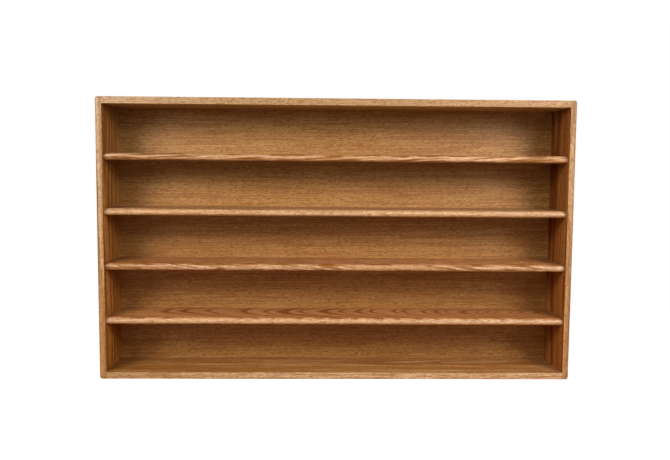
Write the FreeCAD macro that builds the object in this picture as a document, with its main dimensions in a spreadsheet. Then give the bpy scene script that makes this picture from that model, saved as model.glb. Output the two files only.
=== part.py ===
import FreeCAD, Part
import math
import os
import Sketcher

# Solid oak cabinet of five open rows for disc cases, in millimetres.
# The origin is at the middle of the footprint: +X to the right, +Y to the rear, +Z up.
# Every sub-part's own Y runs from the plane of the cabinet's front edges to the rear.

rowCount = 5
shelfCount = rowCount - 1
dowelCount = 2          # in each of the four corner joints

# Driving dimensions, one cell of the sheet each
drivingSizes = {
    "cabinetWidth": 1320.8,      # over the outer faces of both sides
    "cabinetDepth": 171.45,      # front edges to rear edges of the sides
    "rowHeight": 133.35,         # clear height of a row
    "boardThickness": 19.05,     # sides, top, bottom and shelves
    "backThickness": 6.35,       # plywood back
    "sideRound": 9.525,          # rounded outer arrises of the sides
    "arris": 0.8,                # broken edges elsewhere at the front
    "shelfSetback": 9.525,       # nose of a shelf behind the front edges
    "grooveDepth": 6.35,         # grooves in the sides that hold the shelves
    "grooveStop": 25.4,          # front end of a groove behind the front edges
    "tongueEndGap": 0.4,         # glue room at the end of a shelf's tongue
    "tongueFrontGap": 1.0,       # room between a tongue and the round end of its groove
    "joinGap": 0.05,             # round a dowel, and above and below a tongue
    "rabbetWidth": 9.525,        # step in the frame that holds the back
    "backGap": 0.6,              # room round the back in its step
    "dowelDiameter": 9.525,
    "dowelLength": 36.0,
    "dowelChamfer": 1.2,
    "dowelInSide": 12.5,         # depth of a dowel's hole in the side
    "dowelInPanel": 25.0,        # depth of its hole in the end of the top or bottom
    "dowelInset": 38.1,          # first dowel behind the front edges
    "dowelSpacing": 88.9,
    "stapleCrown": 6.35,
    "stapleLeg": 22.0,
    "stapleWireWidth": 1.27,     # across the staple
    "stapleWireThickness": 1.0,  # along its crown and into the back
    "stapleSpacing": 240.0,      # along the top, the bottom and the shelves
}

doc = FreeCAD.newDocument("DiscCabinet")
sheet = doc.addObject("Spreadsheet::Sheet", "Sizes")
for row, (alias, value) in enumerate(drivingSizes.items(), 1):
    sheet.set(f"A{row}", alias)
    sheet.set(f"B{row}", str(value))
    sheet.setAlias(f"B{row}", alias)
doc.recompute()


def number(expression):
    # The value of an expression on the sheet
    return float(sheet.evalExpression(expression))


# Sizes that follow from the driving ones
halfInner = "(Sizes.cabinetWidth / 2 - Sizes.boardThickness)"
rowPitch = "(Sizes.rowHeight + Sizes.boardThickness)"
cabinetHeight = f"({rowCount} * {rowPitch} + Sizes.boardThickness)"
innerDepth = "(Sizes.cabinetDepth - Sizes.backThickness)"
grooveHeight = "(Sizes.boardThickness + 2 * Sizes.joinGap)"
tongueLength = "(Sizes.grooveDepth - Sizes.tongueEndGap)"
tongueFront = f"(Sizes.grooveStop + {grooveHeight} / 2 + Sizes.tongueFrontGap)"
dowelHole = "(Sizes.dowelDiameter + 2 * Sizes.joinGap)"
stapleCount = int(number(f"(2 * {halfInner} - 4 * Sizes.stapleCrown) / Sizes.stapleSpacing")) + 1
stapleSpan = f"({stapleCount - 1} * Sizes.stapleSpacing)"
topLedge = f"({cabinetHeight} - Sizes.boardThickness + Sizes.rabbetWidth / 2)"
bottomLedge = "(Sizes.boardThickness - Sizes.rabbetWidth / 2)"
sideLedge = f"({halfInner} + Sizes.rabbetWidth / 2)"
firstRowMiddle = "(Sizes.boardThickness + Sizes.rowHeight / 2)"


# Sketches

def newBody(name, x="0", z="0"):
    # A sub-part whose own Y starts at the cabinet's front
    body = doc.addObject("PartDesign::Body", name)
    body.Label = name
    body.AllowCompound = True
    body.setExpression("Placement.Base.x", x)
    body.setExpression("Placement.Base.y", "-Sizes.cabinetDepth / 2")
    body.setExpression("Placement.Base.z", z)
    return body


def originPart(body, role):
    return next(part for part in body.Origin.OriginFeatures if part.Role == role)


def newSketch(body, plane, name, offset="0"):
    # A sketch on one of the body's own planes, moved along that plane's normal
    sketch = body.newObject("Sketcher::SketchObject", name)
    sketch.AttachmentSupport = [(originPart(body, plane), "")]
    sketch.MapMode = "FlatFace"
    sketch.setExpression("AttachmentOffset.Base.z", offset)
    return sketch


def point(x, y):
    return FreeCAD.Vector(number(x), number(y), 0)


def fixPoint(sketch, edge, end, x, y):
    # Ties a point of a sketch to the sketch's origin, or to its axis where the distance is 0
    for kind, axis, distance in (("DistanceX", -2, x), ("DistanceY", -1, y)):
        if distance == "0":
            sketch.addConstraint(Sketcher.Constraint("PointOnObject", edge, end, axis))
        else:
            wanted = Sketcher.Constraint(kind, -1, 1, edge, end, number(distance))
            sketch.setExpression(f"Constraints[{sketch.addConstraint(wanted)}]", distance)


def drawPolygon(sketch, corners):
    # A closed outline of straight lines through corners given as pairs of expressions
    base = sketch.GeometryCount
    for start, end in zip(corners, corners[1:] + corners[:1]):
        sketch.addGeometry(Part.LineSegment(point(*start), point(*end)), False)
    for index, corner in enumerate(corners):
        following = base + (index + 1) % len(corners)
        sketch.addConstraint(Sketcher.Constraint("Coincident", base + index, 2, following, 1))
        fixPoint(sketch, base + index, 1, *corner)


def drawRoundNosed(sketch, nose, rear, bottom, height):
    # A strip with a half-round front end: a shelf's section, or a routed groove
    radius = f"({height} / 2)"
    centreY = f"({nose} + {radius})"
    top = f"({bottom} + {height})"
    middle = f"({bottom} + {radius})"
    circle = Part.Circle(point(centreY, middle), FreeCAD.Vector(0, 0, 1), number(radius))
    sketch.addGeometry(Part.ArcOfCircle(circle, math.pi / 2, 3 * math.pi / 2), False)
    outline = [(centreY, bottom), (rear, bottom), (rear, top), (centreY, top)]
    for start, end in zip(outline, outline[1:]):
        sketch.addGeometry(Part.LineSegment(point(*start), point(*end)), False)
    for edge, end, following in ((0, 2, 1), (1, 2, 2), (2, 2, 3), (3, 2, 0)):
        sketch.addConstraint(Sketcher.Constraint("Coincident", edge, end, following, 1))
    for edge, corner in enumerate(outline[:3], 1):
        fixPoint(sketch, edge, 1, *corner)
    fixPoint(sketch, 0, 3, centreY, middle)
    sketch.addConstraint(Sketcher.Constraint("Vertical", 0, 1, 0, 3))


def drawCircles(sketch, places, diameter):
    for index, (x, y) in enumerate(places):
        circle = Part.Circle(point(x, y), FreeCAD.Vector(0, 0, 1), number(diameter) / 2)
        sketch.addGeometry(circle, False)
        fixPoint(sketch, index, 3, x, y)
        size = sketch.addConstraint(Sketcher.Constraint("Diameter", index, number(diameter)))
        sketch.setExpression(f"Constraints[{size}]", diameter)


def drawStaple(sketch, middle, crownAlongX):
    # A staple seen flat: its crown lies in the rear face and its legs point forward
    rear = "Sizes.cabinetDepth"
    tips = "(Sizes.cabinetDepth - Sizes.stapleLeg)"
    underCrown = "(Sizes.cabinetDepth - Sizes.stapleWireThickness)"
    halfOuter = "Sizes.stapleCrown / 2"
    halfInside = "(Sizes.stapleCrown / 2 - Sizes.stapleWireThickness)"
    left, right = f"({middle} - {halfOuter})", f"({middle} + {halfOuter})"
    insideLeft, insideRight = f"({middle} - {halfInside})", f"({middle} + {halfInside})"
    corners = [(left, rear), (right, rear), (right, tips), (insideRight, tips),
               (insideRight, underCrown), (insideLeft, underCrown), (insideLeft, tips), (left, tips)]
    if not crownAlongX:
        corners = [(depth, along) for along, depth in corners]
    drawPolygon(sketch, corners)


# Features

def finish(body, feature):
    body.Tip = feature
    doc.recompute()
    return feature


def pad(body, sketch, name, length, symmetric=False):
    feature = body.newObject("PartDesign::Pad", name)
    feature.Profile = sketch
    feature.SideType = "Symmetric" if symmetric else "One side"
    feature.setExpression("Length", length)
    return finish(body, feature)


def pocket(body, sketch, name, depth, reverse=False, symmetric=False):
    # Cuts a sketch out of the body, and stops if the cut missed it
    before = body.Shape.Volume
    feature = body.newObject("PartDesign::Pocket", name)
    feature.Profile = sketch
    feature.SideType = "Symmetric" if symmetric else "One side"
    feature.Reversed = reverse
    feature.setExpression("Length", depth)
    finish(body, feature)
    if body.Shape.Volume >= before:
        raise RuntimeError(f"{body.Label}: {name} cuts nothing")
    return feature


def repeat(body, feature, name, axis, length, count):
    # A feature repeated evenly over a length along one of the body's axes
    pattern = body.newObject("PartDesign::LinearPattern", name)
    pattern.Originals = [feature]
    pattern.Direction = (originPart(body, axis), [""])
    pattern.Occurrences = count
    pattern.setExpression("Length", length)
    return finish(body, pattern)


def mirrorEnds(body, feature, name):
    # The same feature at the other end of a board that is centred on X
    mirrored = body.newObject("PartDesign::Mirrored", name)
    mirrored.Originals = [feature]
    mirrored.MirrorPlane = (originPart(body, "YZ_Plane"), [""])
    return finish(body, mirrored)


def edgesAt(feature, places):
    # The edges of a feature whose middles are nearest the given places
    edges = feature.Shape.Edges
    names = []
    for place in places:
        target = FreeCAD.Vector(*[number(part) for part in place])
        distances = [edge.CenterOfMass.distanceToPoint(target) for edge in edges]
        names.append(f"Edge{distances.index(min(distances)) + 1}")
    return names


def rounded(body, feature, name, radius, places):
    fillet = body.newObject("PartDesign::Fillet", name)
    fillet.Base = (feature, edgesAt(feature, places))
    fillet.setExpression("Radius", radius)
    return finish(body, fillet)


def chamfered(body, feature, name, size, places):
    chamfer = body.newObject("PartDesign::Chamfer", name)
    chamfer.Base = (feature, edgesAt(feature, places))
    chamfer.setExpression("Size", size)
    return finish(body, chamfer)


def slotted(name, board, staples):
    # A finished board, with the slots that its staples press into it
    cut = doc.addObject("Part::Cut", name)
    cut.Label = name
    cut.Base = board
    cut.Tool = staples
    doc.recompute()
    if cut.Shape.Volume >= board.Shape.Volume:
        raise RuntimeError(f"{name}: the staples miss the board")
    return cut


def twin(name, source):
    # The right-hand mirror image of a left-hand sub-part
    image = doc.addObject("Part::Mirroring", name)
    image.Label = name
    image.Source = source
    image.Normal = (1, 0, 0)
    doc.recompute()
    return image


# Fasteners

def dowelPlaces():
    return [f"(Sizes.dowelInset + {index} * Sizes.dowelSpacing)" for index in range(dowelCount)]


def makeDowels(name, height):
    # The dowels of one left-hand corner joint, standing a little clear of both hole bottoms
    spare = "((Sizes.dowelInSide + Sizes.dowelInPanel - Sizes.dowelLength) / 2)"
    body = newBody(name, x=f"(-{halfInner} - Sizes.dowelInSide + {spare})", z=height)
    ends = newSketch(body, "YZ_Plane", "Ends")
    drawCircles(ends, [(place, "0") for place in dowelPlaces()], "Sizes.dowelDiameter")
    sticks = pad(body, ends, "Sticks", "Sizes.dowelLength")
    rims = [(end, place, "0") for place in dowelPlaces() for end in ("0", "Sizes.dowelLength")]
    chamfered(body, sticks, "Tips", "Sizes.dowelChamfer", rims)
    return body


def makeStapleRow(name, height):
    # Staples side by side along X, driven into one board
    body = newBody(name, z=height)
    outline = newSketch(body, "XY_Plane", "Outline")
    drawStaple(outline, f"(-{stapleSpan} / 2)", crownAlongX=True)
    first = pad(body, outline, "FirstStaple", "Sizes.stapleWireWidth", symmetric=True)
    repeat(body, first, "Staples", "X_Axis", stapleSpan, stapleCount)
    return body


def makeStapleColumn(name):
    # Staples one above the other in the left side, one at the middle of each row
    body = newBody(name, x=f"-{sideLedge}")
    outline = newSketch(body, "YZ_Plane", "Outline")
    drawStaple(outline, firstRowMiddle, crownAlongX=False)
    first = pad(body, outline, "FirstStaple", "Sizes.stapleWireWidth", symmetric=True)
    repeat(body, first, "Staples", "Z_Axis", f"({shelfCount} * {rowPitch})", rowCount)
    return body


# Boards

def makeSideBoard(name):
    # Full-height board: grooves for the shelves, a step for the back and holes for the dowels
    depth = "Sizes.cabinetDepth"
    thickness = "Sizes.boardThickness"
    body = newBody(name, x="-Sizes.cabinetWidth / 2")
    outline = newSketch(body, "YZ_Plane", "Outline")
    drawPolygon(outline, [("0", "0"), (depth, "0"), (depth, cabinetHeight), ("0", cabinetHeight)])
    board = pad(body, outline, "Board", thickness)
    halfHeight = f"{cabinetHeight} / 2"
    board = chamfered(body, board, "InnerArris", "Sizes.arris", [(thickness, "0", halfHeight)])
    outerEdges = [("0", "0", halfHeight), ("0", f"{depth} / 2", cabinetHeight), ("0", f"{depth} / 2", "0")]
    rounded(body, board, "OuterRound", "Sizes.sideRound", outerEdges)
    ends = newSketch(body, "YZ_Plane", "EndArrisOutline")
    belowTop = f"({cabinetHeight} - Sizes.arris)"
    drawPolygon(ends, [("0", "0"), ("Sizes.arris", "0"), ("0", "Sizes.arris")])
    drawPolygon(ends, [("0", belowTop), ("Sizes.arris", cabinetHeight), ("0", cabinetHeight)])
    pocket(body, ends, "EndArrises", thickness, reverse=True)

    step = newSketch(body, "YZ_Plane", "BackStepOutline", thickness)
    low = "(Sizes.boardThickness - Sizes.rabbetWidth)"
    high = f"({cabinetHeight} - Sizes.boardThickness + Sizes.rabbetWidth)"
    drawPolygon(step, [(innerDepth, low), (depth, low), (depth, high), (innerDepth, high)])
    pocket(body, step, "BackStep", "Sizes.rabbetWidth")

    groove = newSketch(body, "YZ_Plane", "GrooveOutline", thickness)
    drawRoundNosed(groove, "Sizes.grooveStop", innerDepth, f"({rowPitch} - Sizes.joinGap)", grooveHeight)
    first = pocket(body, groove, "FirstGroove", "Sizes.grooveDepth")
    repeat(body, first, "Grooves", "Z_Axis", f"({shelfCount - 1} * {rowPitch})", shelfCount)

    holes = newSketch(body, "YZ_Plane", "DowelHoleOutline", thickness)
    drawCircles(holes, [(place, f"({thickness} / 2)") for place in dowelPlaces()], dowelHole)
    lowerHoles = pocket(body, holes, "LowerDowelHoles", "Sizes.dowelInSide")
    repeat(body, lowerHoles, "DowelHoles", "Z_Axis", f"({cabinetHeight} - {thickness})", 2)
    return body


def makePanelBoard(name, isTop):
    # Top or bottom board between the sides, with a step for the back along its inner rear edge
    depth = "Sizes.cabinetDepth"
    thickness = "Sizes.boardThickness"
    body = newBody(name, z=f"({cabinetHeight} - {thickness})" if isTop else "0")
    section = newSketch(body, "YZ_Plane", "Section")
    if isTop:
        ledge = "Sizes.rabbetWidth"
        drawPolygon(section, [("0", "0"), (innerDepth, "0"), (innerDepth, ledge), (depth, ledge),
                              (depth, thickness), ("0", thickness)])
    else:
        ledge = "(Sizes.boardThickness - Sizes.rabbetWidth)"
        drawPolygon(section, [("0", "0"), (depth, "0"), (depth, ledge), (innerDepth, ledge),
                              (innerDepth, thickness), ("0", thickness)])
    board = pad(body, section, "Board", f"2 * {halfInner}", symmetric=True)
    chamfered(body, board, "FrontArrises", "Sizes.arris", [("0", "0", "0"), ("0", "0", thickness)])
    holes = newSketch(body, "YZ_Plane", "DowelHoleOutline", f"-{halfInner}")
    drawCircles(holes, [(place, f"({thickness} / 2)") for place in dowelPlaces()], dowelHole)
    leftHoles = pocket(body, holes, "LeftDowelHoles", "Sizes.dowelInPanel", reverse=True)
    mirrorEnds(body, leftHoles, "RightDowelHoles")
    return body


def makeShelfBoard(name, height):
    # Shelf with a half-round nose; its front corners are notched, so that only the tongues
    # behind them enter the grooves and the nose butts against the sides
    body = newBody(name, z=height)
    section = newSketch(body, "YZ_Plane", "Section")
    drawRoundNosed(section, "Sizes.shelfSetback", innerDepth, "0", "Sizes.boardThickness")
    pad(body, section, "Board", f"2 * ({halfInner} + {tongueLength})", symmetric=True)
    notch = newSketch(body, "XY_Plane", "NotchOutline")
    end = f"({halfInner} + Sizes.grooveDepth)"
    drawPolygon(notch, [(halfInner, "0"), (end, "0"), (end, tongueFront), (halfInner, tongueFront)])
    rightNotch = pocket(body, notch, "RightNotch", "Sizes.boardThickness", reverse=True)
    mirrorEnds(body, rightNotch, "LeftNotch")
    return body


def makeBackSheet(name):
    # Plywood that lies in the step all round
    body = newBody(name)
    low = "(Sizes.boardThickness - Sizes.rabbetWidth + Sizes.backGap)"
    high = f"({cabinetHeight} - Sizes.boardThickness + Sizes.rabbetWidth - Sizes.backGap)"
    section = newSketch(body, "YZ_Plane", "Section")
    drawPolygon(section, [(innerDepth, low), ("Sizes.cabinetDepth", low),
                          ("Sizes.cabinetDepth", high), (innerDepth, high)])
    width = f"2 * ({halfInner} + Sizes.rabbetWidth - Sizes.backGap)"
    pad(body, section, "Sheet", width, symmetric=True)
    return body


# The assembly; shelves are numbered from the top

staplesTop = makeStapleRow("staples_top", topLedge)
staplesBottom = makeStapleRow("staples_bottom", bottomLedge)
staplesLeft = makeStapleColumn("staples_left")
staplesRight = twin("staples_right", staplesLeft)
staples = [staplesTop, staplesBottom, staplesLeft, staplesRight]

sideLeft = slotted("side_left", makeSideBoard("side_board"), staplesLeft)
topPanel = slotted("top_panel", makePanelBoard("top_board", isTop=True), staplesTop)
bottomPanel = slotted("bottom_panel", makePanelBoard("bottom_board", isTop=False), staplesBottom)
parts = [sideLeft, twin("side_right", sideLeft), topPanel, bottomPanel]

for index in range(1, rowCount):
    underside = f"({rowCount - index} * {rowPitch})"
    shelfStaples = makeStapleRow(f"staples_shelf_{index}", f"({underside} + Sizes.boardThickness / 2)")
    shelfBoard = makeShelfBoard(f"shelf_board_{index}", underside)
    parts.append(slotted(f"shelf_{index}", shelfBoard, shelfStaples))
    staples.append(shelfStaples)

allStaples = doc.addObject("Part::Compound", "all_staples")
allStaples.Links = staples
parts.append(slotted("back_panel", makeBackSheet("back_sheet"), allStaples))

topMiddle = f"({cabinetHeight} - Sizes.boardThickness / 2)"
for corner, height in (("top", topMiddle), ("bottom", "(Sizes.boardThickness / 2)")):
    leftDowels = makeDowels(f"dowels_{corner}_left", height)
    parts += [leftDowels, twin(f"dowels_{corner}_right", leftDowels)]
parts += staples

# Checks and files

doc.recompute()
for item in doc.Objects:
    if "Invalid" in item.State or "Error" in item.State:
        raise RuntimeError(f"{item.Label} failed to build")
for part in parts:
    if part.Shape.isNull() or not part.Shape.isValid():
        raise RuntimeError(f"{part.Label} has no valid shape")
os.makedirs("parts", exist_ok=True)
for part in parts:
    part.Shape.exportStep(f"parts/{part.Label}.step")
    print(f"{part.Label}: {len(part.Shape.Solids)} solids, {part.Shape.Volume / 1000:.1f} cubic cm")
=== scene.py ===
import math

import bmesh
import bpy
import numpy as np
from mathutils import Matrix, Vector


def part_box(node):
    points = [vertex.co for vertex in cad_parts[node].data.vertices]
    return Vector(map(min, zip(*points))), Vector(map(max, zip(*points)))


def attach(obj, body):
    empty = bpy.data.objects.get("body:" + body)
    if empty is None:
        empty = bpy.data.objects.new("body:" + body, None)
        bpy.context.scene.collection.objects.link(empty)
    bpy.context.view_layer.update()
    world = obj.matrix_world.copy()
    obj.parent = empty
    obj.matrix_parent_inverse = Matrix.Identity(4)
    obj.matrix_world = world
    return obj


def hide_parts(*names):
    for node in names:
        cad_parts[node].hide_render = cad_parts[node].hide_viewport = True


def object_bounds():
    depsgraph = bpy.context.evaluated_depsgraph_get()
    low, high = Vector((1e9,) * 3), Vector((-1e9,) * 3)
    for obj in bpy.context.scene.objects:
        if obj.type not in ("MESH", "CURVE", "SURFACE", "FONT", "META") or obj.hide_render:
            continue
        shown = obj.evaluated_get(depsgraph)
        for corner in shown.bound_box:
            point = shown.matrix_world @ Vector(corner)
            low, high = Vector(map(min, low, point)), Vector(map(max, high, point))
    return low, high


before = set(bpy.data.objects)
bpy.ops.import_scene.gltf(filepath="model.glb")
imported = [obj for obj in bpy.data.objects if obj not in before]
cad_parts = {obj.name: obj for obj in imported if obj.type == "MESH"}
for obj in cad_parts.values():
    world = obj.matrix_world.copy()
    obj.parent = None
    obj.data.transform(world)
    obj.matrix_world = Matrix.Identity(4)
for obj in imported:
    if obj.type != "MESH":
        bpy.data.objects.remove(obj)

cadLow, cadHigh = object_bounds()
scene = bpy.context.scene
scene.view_settings.view_transform = "Standard"
print("frame loaded:", len(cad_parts), "nodes")


# camera: solved from the photographed edges of the cabinet, in the frame's metres

cameraValues = {
    "place": (-0.04795, -2.10050, 0.58427),
    "lens": 39.290,               # mm
    "sensorWidth": 36.0,          # mm
    "pitch": -4.643,              # degrees, down
    "roll": -0.337,
    "yaw": -1.198,                # degrees, towards the right
    "clip": (0.05, 100.0),        # metres, nearest and farthest
}


def makeCamera(values=cameraValues):
    data = bpy.data.cameras.new("photoCamera")
    data.lens = values["lens"]
    data.sensor_width = values["sensorWidth"]
    data.clip_start, data.clip_end = values["clip"]
    camera = bpy.data.objects.new("photoCamera", data)
    scene.collection.objects.link(camera)
    turn = Matrix.Rotation(math.radians(values["roll"]), 4, "Y")
    turn = turn @ Matrix.Rotation(math.radians(values["pitch"]), 4, "X")
    turn = turn @ Matrix.Rotation(math.radians(values["yaw"]), 4, "Z")
    level = Matrix.Rotation(math.pi / 2, 4, "X")      # a camera looks down its own -Z
    camera.matrix_world = Matrix.Translation(values["place"]) @ turn @ level
    scene.camera = camera


makeCamera()
print("camera placed")


# shader arithmetic

class Wire:
    # a node's output: expressions on it add Math nodes
    def __init__(self, shade, socket):
        self.shade = shade
        self.socket = socket

    def maths(self, operation, *values):
        return self.shade.node("ShaderNodeMath", {"operation": operation}, dict(enumerate(values)))

    def __add__(self, other):
        return self.maths("ADD", self, other)

    def __radd__(self, other):
        return self.maths("ADD", other, self)

    def __sub__(self, other):
        return self.maths("SUBTRACT", self, other)

    def __rsub__(self, other):
        return self.maths("SUBTRACT", other, self)

    def __mul__(self, other):
        return self.maths("MULTIPLY", self, other)

    def __rmul__(self, other):
        return self.maths("MULTIPLY", other, self)

    def __truediv__(self, other):
        return self.maths("DIVIDE", self, other)

    def __rtruediv__(self, other):
        return self.maths("DIVIDE", other, self)

    def fraction(self):
        return self.maths("FRACT", self)


class Shade:
    # the nodes of a material or a world: each comes from node(), which makes the settings first
    def __init__(self, owner):
        owner.use_nodes = True
        self.owner = owner
        self.tree = owner.node_tree
        self.tree.nodes.clear()

    def node(self, kind, settings=None, inputs=None, output=0):
        made = self.tree.nodes.new(kind)
        for key, value in (settings or {}).items():
            if key == "stops":
                self.setStops(made.color_ramp, value)
            else:
                setattr(made, key, value)
        for key, value in (inputs or {}).items():
            if isinstance(value, Wire):
                self.tree.links.new(value.socket, made.inputs[key])
            else:
                made.inputs[key].default_value = value
        return Wire(self, made.outputs[output]) if len(made.outputs) else made

    def setStops(self, ramp, stops):
        while len(ramp.elements) < len(stops):
            ramp.elements.new(0.5)
        for element, (position, colour) in zip(ramp.elements, stops):
            element.position = position
            element.color = colour

    def coordinates(self, kind):
        return self.node("ShaderNodeTexCoord", None, None, kind)

    def axis(self, vector, index):
        return self.node("ShaderNodeSeparateXYZ", None, {"Vector": vector}, index)

    def vector(self, operation, *values, output="Vector"):
        return self.node("ShaderNodeVectorMath", {"operation": operation}, dict(enumerate(values)), output)

    def smooth(self, value, low, high):
        # 0 below low, 1 above high, with an easy curve between
        return self.node("ShaderNodeMapRange", {"interpolation_type": "SMOOTHSTEP"},
                         {"Value": value, "From Min": low, "From Max": high})

    def noise(self, vector, factors, detail=0.0, roughness=0.5, output="Fac"):
        # cloudy values round 0.5; the factors say how many clouds there are to a metre along each axis
        return self.node("ShaderNodeTexNoise", {"noise_dimensions": "3D"},
                         {"Vector": self.vector("MULTIPLY", vector, factors), "Scale": 1.0, "Detail": detail,
                          "Roughness": roughness}, output)

    def mix(self, factor, first, second, blend="MIX"):
        return self.node("ShaderNodeMix", {"data_type": "RGBA", "blend_type": blend, "clamp_factor": True},
                         {0: factor, 6: first, 7: second}, 2)

    def finish(self, shader):
        self.node("ShaderNodeOutputMaterial", None, {"Surface": shader})
        return self.owner


def rgb(red, green, blue):
    return (red, green, blue, 1.0)


# oak: growth rings round a pith that strays along the board, open pores in the early wood

oakValues = {
    "light": rgb(0.66, 0.355, 0.142),
    "middle": rgb(0.535, 0.262, 0.090),
    "dark": rgb(0.310, 0.102, 0.011),
    "pore": rgb(0.180, 0.050, 0.003),
    "toneStops": (0.15, 0.50, 0.90),         # where the wood is light, middle and dark
    "outerTone": rgb(0.80, 0.68, 0.50),      # the faces on the outside of the cabinet
    # a noise: its marks to a metre along the grain and across it twice, then detail and roughness
    "stray": ((1.6, 5.0, 5.0), 2.0),
    "cloud": ((1.2, 16.0, 16.0), 1.0),
    "streak": ((2.6, 38.0, 38.0), 3.0, 0.65),
    "line": ((5.0, 300.0, 300.0), 2.0, 0.7),
    "vein": ((9.0, 170.0, 170.0), 2.0, 0.6),
    "fleck": ((75.0, 400.0, 400.0), 1.0, 0.6),
    "porous": ((230.0, 2400.0, 2400.0),),
    "dashDetail": (1.0, 0.6),                # the dashes' size belongs to each board
    # where a mark begins and where it is full, on its noise
    "lineBand": (0.45, 0.58),
    "dashBand": (0.50, 0.64),
    "veinBand": (0.53, 0.57),
    "fleckBand": (0.50, 0.64),
    "poreBand": (0.60, 0.68),
    "earlyStart": (0.0, 0.08),               # the porous early wood, in shares of a year's ring
    "earlyEnd": (0.10, 0.60),
    "earlyPores": 0.05,                      # how many more pores the early wood has
    "straying": 0.020,                       # metres that the pith strays
    "yearSize": 60.0,                        # changes of the rings' width to a metre
    "unevenness": 1.6,
    "feather": 0.4,                          # how far the grain's dashes fray the rings
    "roughness": 0.45,
    "poreRoughness": 0.25,
    "streakRoughness": 0.10,
    "poreColour": 0.8,                       # how far a pore's colour covers the wood's
    "poreDepth": 0.00008,
    "earlyDepth": 0.2,                       # share of a pore's depth that the early wood sinks
    "bump": 0.5,
    "coat": 0.12,                            # the lacquer on the edges
    "coatRoughness": 0.35,
}

# marks of plain solid oak: each piece's own dictionary takes them over and replaces some
solidOak = {
    "grain": "x",                 # the way that the grain runs
    "rings": 170.0,               # years to a metre
    "lean": 0.01,                 # radians that the marks turn off the grain
    "ringLean": 0.01,             # radians that the pith turns off it
    "bow": 0.0,                   # how fast the pith bends away towards both ends
    "wander": 1.0,                # share of the pith's straying
    "cloud": 0.18,                # strength of each mark, from wide to fine
    "streak": 1.1,
    "figure": 0.5,
    "line": 0.6,
    "vein": 0.0,
    "dash": 0.85,
    "fleck": 0.14,
    "dashSize": (70.0, 700.0, 700.0),
    "markColour": rgb(0.250, 0.082, 0.016),
    "figureColour": rgb(0.250, 0.082, 0.016),
    "edges": True,                # whether its front and rear are a board's edges
    "edgeMarks": 0.4,             # share of streaks, lines and figure on the edges
    # faceToneAndShade: the wide faces' own deeper, redder tone, with painted shade and painted light on the inner
    # faces, set to how the light falls inside the cabinet
    "faceToneAndShade": rgb(0.65, 0.50, 0.32),       # the wide faces are deeper and redder than the edges
    "outward": (0.0, 0.0, 0.0),   # the way that an outer face points
    "drift": "x",                 # the way that the tone goes from tone to farTone
    "specular": 0.25,
}


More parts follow.
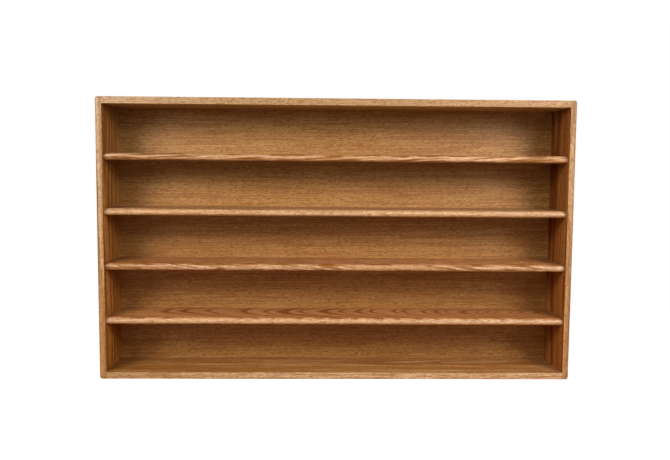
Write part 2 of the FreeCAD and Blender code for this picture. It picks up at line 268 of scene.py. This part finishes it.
def oakMaterial(name, board, values=oakValues):
    # board: a dictionary like solidOak, with its place from the pith and the tones of its two ends
    shade = Shade(bpy.data.materials.new(name))
    place = shade.coordinates("Object")
    upright = math.pi / 2 if board["grain"] == "z" else 0.0
    grain, trunk = (shade.node("ShaderNodeMapping", {"vector_type": "POINT"},
                               {"Vector": place, "Rotation": (0.0, upright + lean, 0.0), "Location": board["pith"]})
                    for lean in (board["lean"], board["ringLean"]))

    # the pith strays, so the rings run out of a face in long loops
    stray = shade.noise(grain, *values["stray"], output="Color")
    reach = values["straying"] * board["wander"]
    shift = shade.vector("MULTIPLY", shade.vector("SUBTRACT", stray, (0.5, 0.5, 0.5)), (0.0, reach, reach))
    bent = shade.vector("ADD", grain, shift)
    log = shade.vector("ADD", trunk, shift)
    if board["bow"]:
        along = shade.axis(place, 0)
        drop = shade.node("ShaderNodeCombineXYZ", None, {"Z": along * along * board["bow"]})
        log = shade.vector("SUBTRACT", log, drop)
    radius = shade.vector("LENGTH", shade.vector("MULTIPLY", log, (0.0, 1.0, 1.0)), output="Value")
    uneven = shade.node("ShaderNodeTexNoise", {"noise_dimensions": "1D"},
                        {"W": radius * values["yearSize"], "Scale": 1.0, "Detail": 1.0}, 0)
    dash = shade.noise(bent, board["dashSize"], *values["dashDetail"])
    year = (radius * board["rings"] + uneven * values["unevenness"] + dash * values["feather"]).fraction()
    early = (1.0 - shade.smooth(year, *values["earlyEnd"])) * shade.smooth(year, *values["earlyStart"])

    # marks along the grain, from hand-wide clouds to single pores
    cloud = shade.noise(grain, *values["cloud"])
    streak = shade.noise(bent, *values["streak"])
    lines = shade.smooth(shade.noise(bent, *values["line"]), *values["lineBand"])
    dashes = shade.smooth(dash, *values["dashBand"])
    flecks = shade.smooth(shade.noise(bent, *values["fleck"]), *values["fleckBand"])
    porous = shade.noise(bent, *values["porous"]) + flecks * board["fleck"] + early * values["earlyPores"]
    pores = shade.smooth(porous, *values["poreBand"])

    # a board's edges show flecks, its wide faces streaks and figure
    wide, coat = 1.0, 0.0
    if board["edges"]:
        normal = shade.coordinates("Normal")
        facing = shade.vector("DOT_PRODUCT", normal, (0.0, 1.0, 0.0), output="Value")
        edge = facing * facing
        wide = 1.0 - edge * (1.0 - board["edgeMarks"])
        coat = edge * values["coat"] * (1.0 - pores)

    tone = 0.5 + (cloud - 0.5) * board["cloud"] + (streak - 0.5) * wide * board["streak"]
    woods = (values["light"], values["middle"], values["dark"])
    colour = shade.node("ShaderNodeValToRGB", {"stops": list(zip(values["toneStops"], woods))}, {"Fac": tone}, 0)
    colour = shade.mix(early * wide * board["figure"], colour, board["figureColour"])
    colour = shade.mix(lines * wide * board["line"], colour, values["dark"])
    colour = shade.mix(dashes * board["dash"], colour, board["markColour"])
    if board["vein"]:
        veins = shade.smooth(shade.noise(bent, *values["vein"]), *values["veinBand"])
        colour = shade.mix(veins * board["vein"], colour, values["pore"])
    colour = shade.mix(pores * values["poreColour"], colour, values["pore"])
    # wide faces that point inward take faceToneAndShade, their own tone with painted shade and painted light in it;
    # faces that point outward take the outer tone
    if board["edges"]:
        outside = shade.vector("DOT_PRODUCT", normal, board["outward"], output="Value").maths("MAXIMUM", 0.0)
        faces = shade.mix(outside, board["faceToneAndShade"], values["outerTone"])
        colour = shade.mix(1.0, colour, shade.mix(edge, faces, rgb(1, 1, 1)), "MULTIPLY")
    # the tone drifts from tone at one end to farTone at the other; up the sides and the back, where the drift runs
    # along z, it is painted light, cooler and less saturated towards the top
    drift = "xyz".index(board["drift"])
    level = (shade.axis(place, drift) - cadLow[drift]) / (cadHigh[drift] - cadLow[drift])
    colour = shade.mix(1.0, colour, shade.mix(level, board["tone"], board["farTone"]), "MULTIPLY")

    height = 1.0 - pores - early * values["earlyDepth"]
    bump = shade.node("ShaderNodeBump", None,
                      {"Strength": values["bump"], "Distance": values["poreDepth"], "Height": height})
    roughness = values["roughness"] + pores * values["poreRoughness"] + (streak - 0.5) * values["streakRoughness"]
    return shade.finish(shade.node("ShaderNodeBsdfPrincipled", None, {
        "Base Color": colour, "Roughness": roughness, "Normal": bump, "Specular IOR Level": board["specular"],
        "Coat Weight": coat, "Coat Roughness": values["coatRoughness"]}))


# surfaces

def roundedOutline(corners, radii, steps):
    # Each corner of a closed outline becomes an arc. The arc starts and ends radius / tan(half the
    # corner's angle) from the corner, its centre lies radius / sin(half the angle) along the
    # bisector, and its points turn from the first end to the second in equal steps.
    corners = np.array(corners, float)
    radii = np.maximum(np.array(radii, float), 1e-7)[:, None]
    back = np.roll(corners, 1, 0) - corners
    on = np.roll(corners, -1, 0) - corners
    back /= np.linalg.norm(back, axis=1, keepdims=True)
    on /= np.linalg.norm(on, axis=1, keepdims=True)
    half = np.arccos(np.clip((back * on).sum(1, keepdims=True), -1, 1)) / 2
    bisector = (back + on) / np.linalg.norm(back + on, axis=1, keepdims=True)
    centre = corners + bisector * radii / np.sin(half)
    first = corners + back * radii / np.tan(half) - centre
    last = corners + on * radii / np.tan(half) - centre
    sweep = math.pi - 2 * half
    share = np.linspace(0, 1, steps + 1)[None, :]
    start = np.sin((1 - share) * sweep) / np.sin(sweep)
    end = np.sin(share * sweep) / np.sin(sweep)
    points = centre[:, None] + start[..., None] * first[:, None] + end[..., None] * last[:, None]
    return points.reshape(-1, 2)


def endInset(distance, radius):
    # How far a rounded end has drawn in at a distance from it: radius - sqrt(radius^2 - (radius - distance)^2)
    inside = np.clip(radius - distance, 0, radius)
    return radius - np.sqrt(radius ** 2 - inside ** 2)


def endStations(low, high, radii, steps):
    # Places along a board: close together over each rounded end, at radius * (1 - cos of an even turn)
    turn = np.linspace(0, math.pi / 2, steps + 1)
    near = np.unique(np.concatenate([radius * (1 - np.cos(turn)) for radius in radii]))
    return np.concatenate([low + near, high - near[::-1]])


def carried(outline, stations, lowLimits, highLimits, axis):
    # An outline at every station, cut back there to the rectangle between the two limits.
    # axis is the way that the board runs; the outline's two values are the other two axes in order.
    rings = np.clip(outline, lowLimits[:, None, :], highLimits[:, None, :])
    along = np.broadcast_to(stations[:, None, None], rings.shape[:2] + (1,))
    order = [rings[..., :1], rings[..., 1:]]
    order.insert(axis, along)
    return np.concatenate(order, -1)


def skin(name, rings):
    # Rings of points along a board: quads join each point to its neighbours on its own ring and on
    # the next, and the first and last ring are closed by one face each.
    count, points = rings.shape[:2]
    grid = np.arange(count * points).reshape(count, points)
    following = np.roll(grid, -1, 1)
    quads = np.stack([grid[:-1], following[:-1], following[1:], grid[1:]], -1).reshape(-1, 4)
    mesh = bpy.data.meshes.new(name)
    mesh.from_pydata(rings.reshape(-1, 3).tolist(), [], quads.tolist() + [grid[0].tolist(), grid[-1].tolist()])
    shape = bmesh.new()
    shape.from_mesh(mesh)
    bmesh.ops.remove_doubles(shape, verts=shape.verts, dist=2e-6)
    bmesh.ops.dissolve_degenerate(shape, edges=shape.edges, dist=1e-6)
    bmesh.ops.recalc_face_normals(shape, faces=shape.faces)
    shape.to_mesh(mesh)
    shape.free()
    mesh.polygons.foreach_set("use_smooth", np.ones(len(mesh.polygons), bool))
    mesh.set_sharp_from_angle(angle=math.radians(40))
    piece = bpy.data.objects.new(name, mesh)
    scene.collection.objects.link(piece)
    weighted = piece.modifiers.new("evenShading", "WEIGHTED_NORMAL")
    weighted.keep_sharp = True
    return piece


def cornersOf(node):
    return [np.array(corner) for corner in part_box(node)]


def placeBoard(node, rings, values):
    piece = skin(node + "_board", rings)
    piece.data.materials.append(oakMaterial(node + "_oak", values))
    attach(piece, "root")
    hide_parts(node)


# sides: full height, outer edges rounded, a step at the rear for the back

sideOak = {
    **solidOak,
    "outerRound": 0.009525,
    "arris": 0.0009,
    "arcSteps": 8,
    "grain": "z",
    # the drift up the side is painted light: cooler and less saturated towards the top
    "drift": "z",
    "rings": 64.0,
    "wander": 3.0,
    "streak": 1.3,
    "figure": 1.3,
    "line": 0.4,
    "figureColour": rgb(0.150, 0.040, 0.004),
    "specular": 0.12,
}
# on the sides' inner faces faceToneAndShade is painted shade: they are made darker and redder, the right side most
leftSide = {
    **sideOak,
    "pith": (0.3, 0.05, -0.58),
    "tone": rgb(0.87, 1.08, 1.34),
    "farTone": rgb(0.70, 0.98, 1.76),
    "faceToneAndShade": rgb(1.10, 0.66, 0.15),
    "outward": (-1.0, 0.0, 0.0),
}
rightSide = {
    **sideOak,
    "pith": (2.1, -0.04, 0.72),
    "tone": rgb(0.90, 1.09, 1.49),
    "farTone": rgb(0.64, 0.83, 1.27),
    "faceToneAndShade": rgb(0.90, 0.38, 0.03),
    "outward": (1.0, 0.0, 0.0),
}


def makeSide(node, values):
    low, high = cornersOf(node)
    backLow, backHigh = cornersOf("back_panel")
    isLeft = low[0] < 0
    outerX, innerX = (low[0], high[0]) if isLeft else (high[0], low[0])
    stepX = backLow[0] if isLeft else backHigh[0]
    stepY = backLow[1]
    outerRound, arris, steps = values["outerRound"], values["arris"], values["arcSteps"]
    edges = [(outerX, low[1]), (innerX, low[1]), (innerX, stepY), (stepX, stepY), (stepX, high[1]), (outerX, high[1])]
    stepped = roundedOutline(edges, [outerRound, arris, 0, 0, 0, arris], steps)
    full = stepped.copy()
    full[3 * (steps + 1):4 * (steps + 1)] = (innerX, high[1])      # above and below the back the step is filled
    stations = endStations(low[2], high[2], (outerRound, arris), steps)
    ends = np.minimum(stations - low[2], high[2] - stations)
    outer, small = endInset(ends, outerRound), endInset(ends, arris)
    left, right = (outer, small) if isLeft else (small, outer)
    rings = carried(full, stations, np.stack([low[0] + left, low[1] + small], 1),
                    np.stack([high[0] - right, high[1] - small], 1), 2)
    middle = np.array([backLow[2], backLow[2], backHigh[2], backHigh[2]])
    inner = carried(np.stack([full, stepped, stepped, full]), middle,
                    np.tile(low[:2], (4, 1)), np.tile(high[:2], (4, 1)), 2)
    half = len(stations) // 2
    placeBoard(node, np.concatenate([rings[:half], inner, rings[half:]]), values)


makeSide("side_left", leftSide)
makeSide("side_right", rightSide)
print("sides made")


# top and bottom: between the sides, with a step along the inner rear edge

panelOak = {
    **solidOak,
    "arris": 0.0009,
    "endArris": 0.0005,
    "arcSteps": 5,
}
# under the top, faceToneAndShade is painted light that makes the underside much lighter; on the bottom's upper face
# it holds painted light and shade set to how the light falls there
topPanel = {
    **panelOak,
    "pith": (32.43, 0.06, -0.70),
    "tone": rgb(0.62, 0.83, 1.21),
    "farTone": rgb(0.70, 0.87, 1.16),
    "faceToneAndShade": rgb(1.85, 1.70, 1.50),
    "outward": (0.0, 0.0, 1.0),
}
bottomPanel = {
    **panelOak,
    "pith": (7.9, -0.02, 0.09),
    "tone": rgb(0.82, 1.10, 1.60),
    "farTone": rgb(1.13, 1.63, 3.03),
    "faceToneAndShade": rgb(1.04, 0.72, 0.35),
    "streak": 2.2,
    "figure": 0.9,
    "vein": 0.5,
    "outward": (0.0, 0.0, -1.0),
}


def makePanel(node, values):
    low, high = cornersOf(node)
    backLow, backHigh = cornersOf("back_panel")
    isTop = low[2] > backLow[2]
    inner, outer = (low[2], high[2]) if isTop else (high[2], low[2])
    stepY = backLow[1]
    stepZ = backHigh[2] if isTop else backLow[2]
    arris, endArris, steps = values["arris"], values["endArris"], values["arcSteps"]
    edges = [(low[1], outer), (low[1], inner), (stepY, inner), (stepY, stepZ), (high[1], stepZ), (high[1], outer)]
    outline = roundedOutline(edges, [arris, arris, 0, 0, 0, arris], steps)
    stations = endStations(low[0], high[0], (endArris,), steps)
    small = endInset(np.minimum(stations - low[0], high[0] - stations), endArris)[:, None]
    placeBoard(node, carried(outline, stations, low[1:] + small, high[1:] - small, 0), values)


makePanel("top_panel", topPanel)
makePanel("bottom_panel", bottomPanel)
print("top and bottom made")


# shelves: half-round nose, flat behind it, from one side's inner face to the other's

shelfOak = {
    **solidOak,
    "rearArris": 0.0004,
    "noseSteps": 16,
}
firstShelf = {
    **shelfOak,
    "pith": (10.57, 0.03, -0.69),
    "tone": rgb(0.72, 0.88, 1.28),
    "farTone": rgb(1.08, 1.42, 2.48),
    "lean": 0.07,
    "ringLean": 0.07,
    "streak": 1.2,
    "figure": 0.4,
    "line": 0.4,
    "vein": 1.0,
    "dashSize": (30.0, 600.0, 600.0),
    "edgeMarks": 1.0,
}
secondShelf = {
    **shelfOak,
    "pith": (15.47, -0.05, -0.40),
    "tone": rgb(0.90, 1.16, 1.82),
    "farTone": rgb(0.99, 1.33, 2.26),
}
# shelves 3 and 4 set faceToneAndShade for their tops and undersides: the face tone with painted light and shade set
# to how the light falls on them
thirdShelf = {
    **shelfOak,
    "pith": (16.9, 0.02, -0.41),
    "tone": rgb(0.84, 1.08, 1.84),
    "farTone": rgb(1.10, 1.60, 3.18),
    "faceToneAndShade": rgb(1.15, 0.73, 0.41),
    "lean": -0.13,
    "ringLean": -0.07,
    "vein": 1.0,
    "edgeMarks": 1.0,
}
fourthShelf = {
    **shelfOak,
    "pith": (19.67, -0.02, -0.009),
    "tone": rgb(0.93, 1.21, 1.95),
    "farTone": rgb(1.01, 1.32, 2.18),
    "faceToneAndShade": rgb(1.10, 0.68, 0.345),
    "figureColour": rgb(0.130, 0.030, 0.002),
    "rings": 110.0,
    "ringLean": 0.17,
    "bow": 0.08,
    "wander": 1.5,
    "streak": 1.0,
    "figure": 1.2,
    "line": 0.4,
    "edgeMarks": 0.0,
}


def makeShelf(node, values):
    low, high = cornersOf(node)
    nose, rear = (high[2] - low[2]) / 2, values["rearArris"]
    edges = [(low[1], low[2]), (high[1], low[2]), (high[1], high[2]), (low[1], high[2])]
    outline = roundedOutline(edges, [nose, rear, rear, nose], values["noseSteps"])
    stations = np.array([cornersOf("side_left")[1][0], cornersOf("side_right")[0][0]])
    placeBoard(node, carried(outline, stations, np.tile(low[1:], (2, 1)), np.tile(high[1:], (2, 1)), 0), values)


makeShelf("shelf_1", firstShelf)
makeShelf("shelf_2", secondShelf)
makeShelf("shelf_3", thirdShelf)
makeShelf("shelf_4", fourthShelf)
print("shelves made")


# the back and the fasteners keep their CAD shapes

backPly = {
    **solidOak,
    "pith": (23.1, 0.01, -0.40),
    "tone": rgb(0.78, 0.77, 0.63),
    "farTone": rgb(0.67, 0.73, 0.69),
    # the drift up the back is painted light: cooler and less saturated towards the top
    "drift": "z",
    "markColour": rgb(0.230, 0.068, 0.006),
    "figureColour": rgb(0.230, 0.068, 0.006),
    "rings": 260.0,
    "wander": 0.3,
    "cloud": 0.2,
    "streak": 0.25,
    "figure": 0.10,
    "dash": 0.80,
    "fleck": 0.08,
    "dashSize": (75.0, 800.0, 800.0),
    "edges": False,
    "specular": 0.3,
}
dowelValues = {
    "light": rgb(0.70, 0.52, 0.33),
    "dark": rgb(0.55, 0.38, 0.22),
    "fibre": ((40.0, 900.0, 900.0), 2.0),
    "roughness": 0.6,
}
stapleValues = {
    "light": rgb(0.66, 0.65, 0.62),
    "dark": rgb(0.42, 0.41, 0.40),
    "dull": ((900.0, 900.0, 900.0), 2.0),
    "roughness": 0.28,
    "dullRoughness": 0.25,
}


def dowelMaterial(values=dowelValues):
    shade = Shade(bpy.data.materials.new("dowel_birch"))
    fibre = shade.noise(shade.coordinates("Object"), *values["fibre"])
    colour = shade.mix(fibre, values["light"], values["dark"])
    return shade.finish(shade.node("ShaderNodeBsdfPrincipled", None,
                                   {"Base Color": colour, "Roughness": values["roughness"]}))


def stapleMaterial(values=stapleValues):
    shade = Shade(bpy.data.materials.new("staple_zinc"))
    dull = shade.noise(shade.coordinates("Object"), *values["dull"])
    colour = shade.mix(dull, values["light"], values["dark"])
    return shade.finish(shade.node("ShaderNodeBsdfPrincipled", None, {
        "Base Color": colour, "Metallic": 1.0, "Roughness": values["roughness"] + dull * values["dullRoughness"]}))


finishes = {"back_panel": oakMaterial("back_ply", backPly), "dowels": dowelMaterial(), "staples": stapleMaterial()}
for name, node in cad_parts.items():
    for start, finish in finishes.items():
        if name.startswith(start):
            node.data.materials.clear()
            node.data.materials.append(finish)
print("back, dowels and staples finished")


# floor and light

studio = {
    "floorSize": 30.0,
    "floorColour": rgb(0.76, 0.55, 0.37),    # what the floor throws back on the cabinet
    "shadowColour": rgb(0.35, 0.35, 0.35),   # what the camera sees near the cabinet: this, lit, on the glow
    "paperGlow": 0.84,
    "shadowFade": (0.9, 2.0),                # metres from the cabinet over which the paper turns plain white
    "floorBehind": (0.0, 0.8),               # metres to the rear over which reflections see white paper
    "skyBehind": (0.0, 0.5),                 # how far a direction points to the rear where the backdrop begins
    "roomStrength": 0.06,                    # what the dim room gives from every side
    "backdropStrength": 0.75,                # what the white backdrop gives from behind
    "lampTarget": (0.0, 0.0, 0.4),
    "lampSpread": 120.0,                     # degrees: a grid keeps the light on the cabinet
    "lamps": {                               # mirrored pairs: place of the right-hand one, size, watts
        "near": ((1.0, -0.8, 1.1), (0.6, 0.6), 4.6),
        "high": ((1.5, -2.0, 1.6), (0.6, 0.6), 14.6),
        "wide": ((2.1, -2.0, 1.1), (0.6, 0.6), 8.4),
    },
}


def backgroundRays(shade, behind):
    # 1 for rays that show the background: straight from the camera, or by a reflection or through glass
    # where they go to the backdrop behind the cabinet
    camera, glossy, clear = (shade.node("ShaderNodeLightPath", output=name)
                             for name in ("Is Camera Ray", "Is Glossy Ray", "Is Transmission Ray"))
    return camera.maths("MAXIMUM", camera, glossy.maths("MAXIMUM", glossy, clear) * behind)


def makeFloor(values=studio):
    half = values["floorSize"] / 2
    mesh = bpy.data.meshes.new("floor")
    mesh.from_pydata([(-half, -half, 0), (half, -half, 0), (half, half, 0), (-half, half, 0)], [], [(0, 1, 2, 3)])
    floor = bpy.data.objects.new("floor", mesh)
    scene.collection.objects.link(floor)
    shade = Shade(bpy.data.materials.new("floor_paper"))
    plain = shade.node("ShaderNodeBsdfDiffuse", None, {"Color": values["floorColour"]})
    faint = shade.node("ShaderNodeBsdfDiffuse", None, {"Color": values["shadowColour"]})
    glow = shade.node("ShaderNodeEmission", None, {"Color": rgb(1, 1, 1), "Strength": values["paperGlow"]})
    near = shade.node("ShaderNodeAddShader", None, {0: faint, 1: glow})
    white = shade.node("ShaderNodeEmission", None, {"Color": rgb(1, 1, 1), "Strength": 1.0})
    place = shade.coordinates("Object")
    distance = shade.vector("LENGTH", place, output="Value")
    behind = shade.smooth(shade.axis(place, 1), *values["floorBehind"])
    fade = shade.smooth(distance, *values["shadowFade"])
    bright = shade.node("ShaderNodeMixShader", None, {0: fade, 1: near, 2: white})
    paper = shade.node("ShaderNodeMixShader", None, {0: backgroundRays(shade, behind), 1: plain, 2: bright})
    mesh.materials.append(shade.finish(paper))


def makeWorld(values=studio):
    scene.world = bpy.data.worlds.new("studio")
    shade = Shade(scene.world)
    behind = shade.smooth(shade.axis(shade.coordinates("Generated"), 1), *values["skyBehind"])
    lighting = values["roomStrength"] + behind * (values["backdropStrength"] - values["roomStrength"])
    strength = shade.node("ShaderNodeMix", {"data_type": "FLOAT"},
                          {0: backgroundRays(shade, behind), 2: lighting, 3: 1.0}, 0)
    sky = shade.node("ShaderNodeBackground", None, {"Color": rgb(1, 1, 1), "Strength": strength})
    shade.node("ShaderNodeOutputWorld", None, {"Surface": sky})


def makeLamp(name, place, size, power, values=studio):
    data = bpy.data.lights.new(name, "AREA")
    data.shape = "RECTANGLE"
    data.size, data.size_y = size
    data.spread = math.radians(values["lampSpread"])
    data.energy = power
    lamp = bpy.data.objects.new(name, data)
    scene.collection.objects.link(lamp)
    lamp.location = place
    lamp.rotation_euler = (Vector(values["lampTarget"]) - Vector(place)).to_track_quat("-Z", "Y").to_euler()


makeFloor()
makeWorld()
for name, ((x, y, z), size, power) in studio["lamps"].items():
    makeLamp(name + "_right", (x, y, z), size, power)
    makeLamp(name + "_left", (-x, y, z), size, power)
print("floor and light set")
